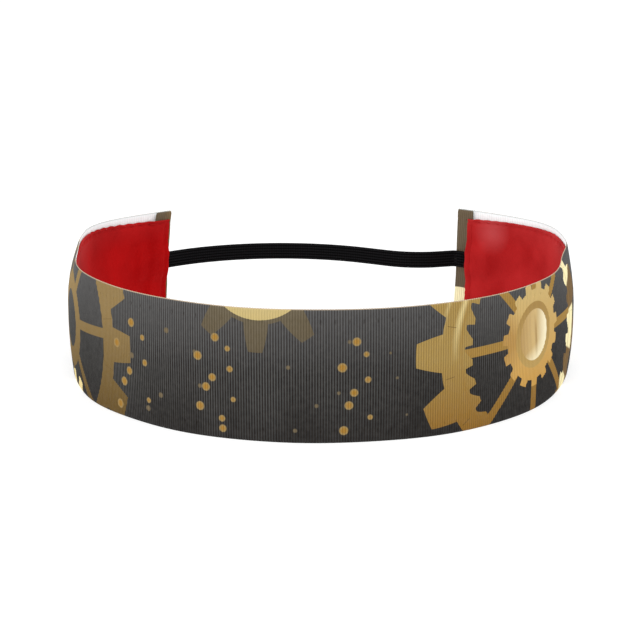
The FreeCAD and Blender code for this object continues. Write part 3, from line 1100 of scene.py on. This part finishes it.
def core_strands(name, line, normals, rubber):
    """The rubber strands inside one stretch of the elastic."""
    offsets = (np.arange(CORE_COUNT) - (CORE_COUNT - 1) / 2) * CORE_PITCH
    thin = slice(None, None, 8)
    line, normals = line[thin], normals[thin]
    centres = np.repeat(line[None], CORE_COUNT, axis=0)
    centres[..., 2] += offsets[:, None]
    out = np.zeros_like(centres)
    out[..., :2] = normals[None]
    up = np.zeros_like(centres)
    up[..., 2] = 1.0
    piece = tubes(name, centres, up, out, np.full(len(line), CORE_RADIUS))
    piece.data.materials.append(rubber)
    return piece


# ---------------------------------------------------------------- assembling

def bend_to_arm(piece):
    """Bakes the piece's placement into its mesh."""
    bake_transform(piece)


def make_band(materials):
    """Ribbon, lining and edge seams, each in a left and a right piece."""
    seam_z = {"bottom": LINING_MARGIN + EDGE_SEAM_INSET, "top": WIDTH - LINING_MARGIN - EDGE_SEAM_INSET}
    for side in ("left", "right"):
        sign = SIGN[side]
        ends = {
            "ribbon": sign * (ARM[side] - FOLD_RADIUS + FOLD_ARC + FLAP_LENGTH[side] - FOLD_RADIUS),
            "lining": sign * (ARM[side] - LINING_SETBACK[side]),
        }
        first, last = sorted((SPLIT, ends["ribbon"]))
        name = "ribbon_" + side + "_piece"
        band = ribbon(name, side, first, last, materials["printed"], materials["reverse"])
        bend_to_arm(band)
        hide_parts("ribbon_" + side, "ribbon_front")
        last - first

        pile = lining("lining_" + side + "_piece", side, SPLIT, ends["lining"], materials["velvet"])
        bend_to_arm(pile)
        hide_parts("lining_" + side, "lining_front")
        size = (WIDTH - 2 * LINING_MARGIN, abs(ends["lining"] - SPLIT))

        for edge, z in seam_z.items():
            stop = ends["lining"] - sign * (END_SEAM_INSET + 0.5 * MM)
            name = "seam_" + edge + "_" + side
            seam = edge_seam(name + "_stitches", side, SPLIT, stop, z, materials["thread"])
            bend_to_arm(seam)
            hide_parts(name, "seam_" + edge + "_front")

        stitches = end_seam("end_seam_" + side + "_stitches", side, ends["lining"], materials["thread"])
        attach(stitches, side + "_arm")
        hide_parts("end_seam_" + side)


def make_elastic(materials):
    """The elastic and its cores, in four stretches that meet end to end."""
    line = elastic_line()
    slope = np.gradient(line, axis=0)
    slope /= np.linalg.norm(slope, axis=1)[:, None]
    normals = np.stack([-slope[:, 1], slope[:, 0]], axis=-1)
    line = np.column_stack([line, ELASTIC_MID_Z + np.linspace(*ELASTIC_RISE, len(line))])
    joint = int((TAIL_LENGTH + ELASTIC_JOINT) / ELASTIC_STEP)
    last = len(line) - 1
    stops = [0, joint, last // 2, last - joint, last]
    tails = ["elastic_tail_left", None, None, "elastic_tail_right"]
    names = ["left_end", "left_middle", "right_middle", "right_end"]
    for i, name in enumerate(names):
        part = slice(stops[i], stops[i + 1] + 1)
        webbing = strap("elastic_" + name, line[part], normals[part], stops[i], materials["braid"])
        strands = core_strands("elastic_cores_" + name, line[part], normals[part], materials["rubber"])
        for piece in (webbing, strands):
            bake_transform(piece)
        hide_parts("elastic_span")
        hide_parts("elastic_cores")
        if tails[i]:
            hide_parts(tails[i])


# ---------------------------------------------------------------- room

CAMERA_TARGET = Vector((0.4 * MM, FRONT_Y + 57.3 * MM, 20.2 * MM))
CAMERA_DISTANCE = 566.0 * MM
CAMERA_ELEVATION = math.radians(14.3)
CAMERA_LENS = 104.0


def make_camera():
    camera = bpy.data.objects.new("camera", bpy.data.cameras.new("camera"))
    bpy.context.scene.collection.objects.link(camera)
    away = Vector((0.0, -math.cos(CAMERA_ELEVATION), math.sin(CAMERA_ELEVATION)))
    camera.location = CAMERA_TARGET + away * CAMERA_DISTANCE
    camera.rotation_euler = (-away).to_track_quat("-Z", "Y").to_euler()
    camera.data.lens = CAMERA_LENS
    camera.data.sensor_width = 36.0
    camera.data.clip_start = 0.01
    bpy.context.scene.camera = camera


def make_light(name, place_at, size, power):
    """A soft square lamp that looks at the band."""
    data = bpy.data.lights.new(name, "AREA")
    data.size = size
    data.energy = power
    lamp = bpy.data.objects.new(name, data)
    lamp.location = place_at
    lamp.rotation_euler = (Vector((0.0, 0.0, 0.02)) - Vector(place_at)).to_track_quat("-Z", "Y").to_euler()
    bpy.context.scene.collection.objects.link(lamp)


# The floor glows a little, so that it stays nearly white with hardly any shadow.
WHITE = (1.0, 1.0, 1.0, 1.0)
FLOOR_GREY = (0.5, 0.5, 0.5, 1.0)
FLOOR_GLOW = 0.6
FLOOR_REACH = 3.0


def make_room():
    """A plain white floor, a white surround and soft lamps."""
    world = bpy.data.worlds.new("surround")
    bpy.context.scene.world = world
    world.use_nodes = True
    background = world.node_tree.nodes["Background"]
    background.inputs["Color"].default_value = WHITE
    background.inputs["Strength"].default_value = 0.9
    corners = FLOOR_REACH * np.array([[-1.0, -1.0, 0.0], [1.0, -1.0, 0.0], [1.0, 1.0, 0.0], [-1.0, 1.0, 0.0]])
    floor = new_object("floor", corners, [(0, 1, 2, 3)])
    paper = Sheet("floor_paper")
    glow = {"Emission_Color": WHITE, "Emission_Strength": FLOOR_GLOW}
    floor.data.materials.append(paper.finish(Base_Color=FLOOR_GREY, Roughness=0.9, **glow))
    make_light("key", (-0.9, -0.5, 0.35), 0.5, 3.3)
    make_light("fill", (0.9, -0.5, 0.35), 0.5, 1.3)
    make_light("top", (0.1, -0.3, 0.9), 0.8, 2.5)
    bpy.context.scene.view_settings.view_transform = "Standard"


def main():
    make_camera()
    materials = {
        "printed": printed_material(),
        "reverse": reverse_material(),
        "velvet": velvet_material(),
        "braid": braid_material(),
        "thread": thread_material(),
        "rubber": rubber_material(),
    }
    make_band(materials)
    make_elastic(materials)
    make_room()


main()
